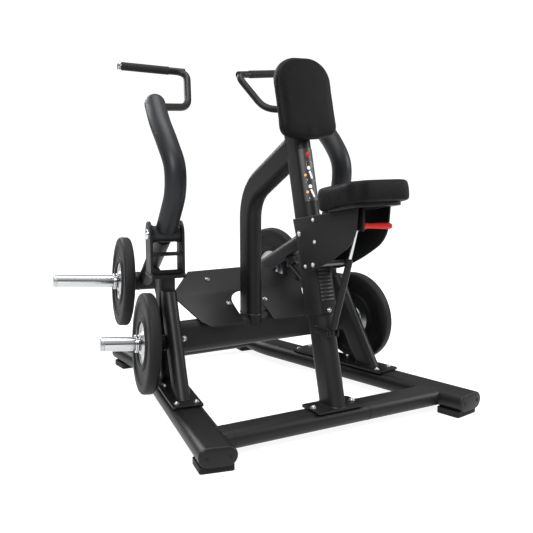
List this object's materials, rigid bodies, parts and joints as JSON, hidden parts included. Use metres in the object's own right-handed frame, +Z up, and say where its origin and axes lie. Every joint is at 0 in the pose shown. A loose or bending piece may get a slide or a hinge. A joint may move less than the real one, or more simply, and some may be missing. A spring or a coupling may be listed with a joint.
{
  "type": "plate loaded seated row machine",
  "caption": "Plate-loaded chest-supported row machine: two independent diverging lever arms with weight horns, an adjustable seat, a chest pad and an inclined footplate.",
  "frame": {"origin": "middle of the bounding box at floor level", "axes": "+Z up, +Y the way the seated user faces, +X to the user's right"},
  "size_m": [1.2602, 1.413, 1.2477],
  "materials": {
    "frame_coat": "black powder coat, satin",
    "arm_coat": "black powder coat, slightly glossier",
    "black_rubber": "matte black rubber",
    "vinyl": "black grained upholstery",
    "chrome": "polished",
    "bright_steel": "brushed",
    "red_plastic": "glossy red",
    "placard_plastic": null
  },
  "bodies": {
    "base": {"cross_tube_rear": "frame_coat", "cross_tube_front": "frame_coat", "cross_beam": "frame_coat", "mast": "frame_coat", "column": "frame_coat", "column_cover": "frame_coat", "placard": "placard_plastic", "footplate": "frame_coat", "footplate_stays": "frame_coat", "chest_pad": "vinyl", "leg_left": "frame_coat", "leg_cap_rear_left": "black_rubber", "leg_cap_front_left": "black_rubber", "foot_rear_left": "black_rubber", "foot_front_left": "black_rubber", "post_left": "frame_coat", "brace_left": "frame_coat", "pivot_bracket_left": "frame_coat", "pivot_shaft_left": "chrome", "storage_horn_left": "chrome", "stop_bumper_left": "black_rubber", "leg_right": "frame_coat", "leg_cap_rear_right": "black_rubber", "leg_cap_front_right": "black_rubber", "foot_rear_right": "black_rubber", "foot_front_right": "black_rubber", "post_right": "frame_coat", "brace_right": "frame_coat", "pivot_bracket_right": "frame_coat", "pivot_shaft_right": "chrome", "storage_horn_right": "chrome", "stop_bumper_right": "black_rubber"},
    "arm_left": {"arm_left": "arm_coat", "weight_arm_left": "arm_coat", "handle_left": "frame_coat", "grip_left": "black_rubber", "grip_cap_left": "chrome", "work_horn_left": "chrome"},
    "work_load_left": {"work_disc_left": "black_rubber", "work_collar_left": "bright_steel"},
    "stored_load_left": {"storage_disc_left": "black_rubber", "storage_collar_left": "bright_steel"},
    "arm_right": {"arm_right": "arm_coat", "weight_arm_right": "arm_coat", "handle_right": "frame_coat", "grip_right": "black_rubber", "grip_cap_right": "chrome", "work_horn_right": "chrome"},
    "work_load_right": {"work_disc_right": "black_rubber", "work_collar_right": "bright_steel"},
    "stored_load_right": {"storage_disc_right": "black_rubber", "storage_collar_right": "bright_steel"},
    "seat": {"seat_plate_left": "frame_coat", "seat_plate_right": "frame_coat", "seat_pivot_pin": "bright_steel", "seat_board": "black_rubber", "seat_pad": "vinyl"},
    "gas_cylinder": {"gas_cylinder": "frame_coat"},
    "gas_rod": {"gas_rod": "chrome"},
    "release_lever": {"release_lever": "red_plastic"}
  },
  "joints": [
    {"name": "arm_left_swing", "type": "hinge", "parent": "base", "child": "arm_left", "pos_m": [-0.3509, 0.10542, 0.622], "axis": [0.9789, -0.2045, 0], "range_deg": [0, 45]},
    {"name": "arm_right_swing", "type": "hinge", "parent": "base", "child": "arm_right", "pos_m": [0.3509, 0.10542, 0.622], "axis": [0.9789, 0.2045, 0], "range_deg": [0, 45]},
    {"name": "work_load_left_slide", "type": "slide", "parent": "arm_left", "child": "work_load_left", "axis": [-0.977, 0.2041, 0.061], "range_m": [0, 0.22]},
    {"name": "stored_load_left_slide", "type": "slide", "parent": "base", "child": "stored_load_left", "axis": [-0.977, 0.2041, 0.061], "range_m": [0, 0.115]},
    {"name": "work_load_right_slide", "type": "slide", "parent": "arm_right", "child": "work_load_right", "axis": [0.977, 0.2041, 0.061], "range_m": [0, 0.22]},
    {"name": "stored_load_right_slide", "type": "slide", "parent": "base", "child": "stored_load_right", "axis": [0.977, 0.2041, 0.061], "range_m": [0, 0.115]},
    {"name": "seat_tilt", "type": "hinge", "parent": "base", "child": "seat", "pos_m": [0, -0.33, 0.648], "axis": [1, 0, 0], "range_deg": [-6, 10]},
    {"name": "gas_cylinder_swing", "type": "hinge", "parent": "base", "child": "gas_cylinder", "pos_m": [-0.014, -0.456, 0.335], "axis": [1, 0, 0], "range_deg": [-3, 5]},
    {"name": "gas_rod_slide", "type": "slide", "parent": "gas_cylinder", "child": "gas_rod", "axis": [0, -0.3313, 0.9435], "range_m": [-0.045, 0.03]},
    {"name": "release_lever_lift", "type": "hinge", "parent": "seat", "child": "release_lever", "pos_m": [-0.034, -0.632, 0.701], "axis": [-0.3979, -0.9174, 0], "range_deg": [0, 12], "stiffness_Nm_per_rad": 0.5, "springref_deg": -17.19}
  ],
  "couplings": [
    {"joint": "gas_cylinder_swing", "follows": "seat_tilt", "ratio": 0.3531},
    {"joint": "gas_rod_slide", "follows": "seat_tilt", "m_per_rad": -0.2226}
  ]
}
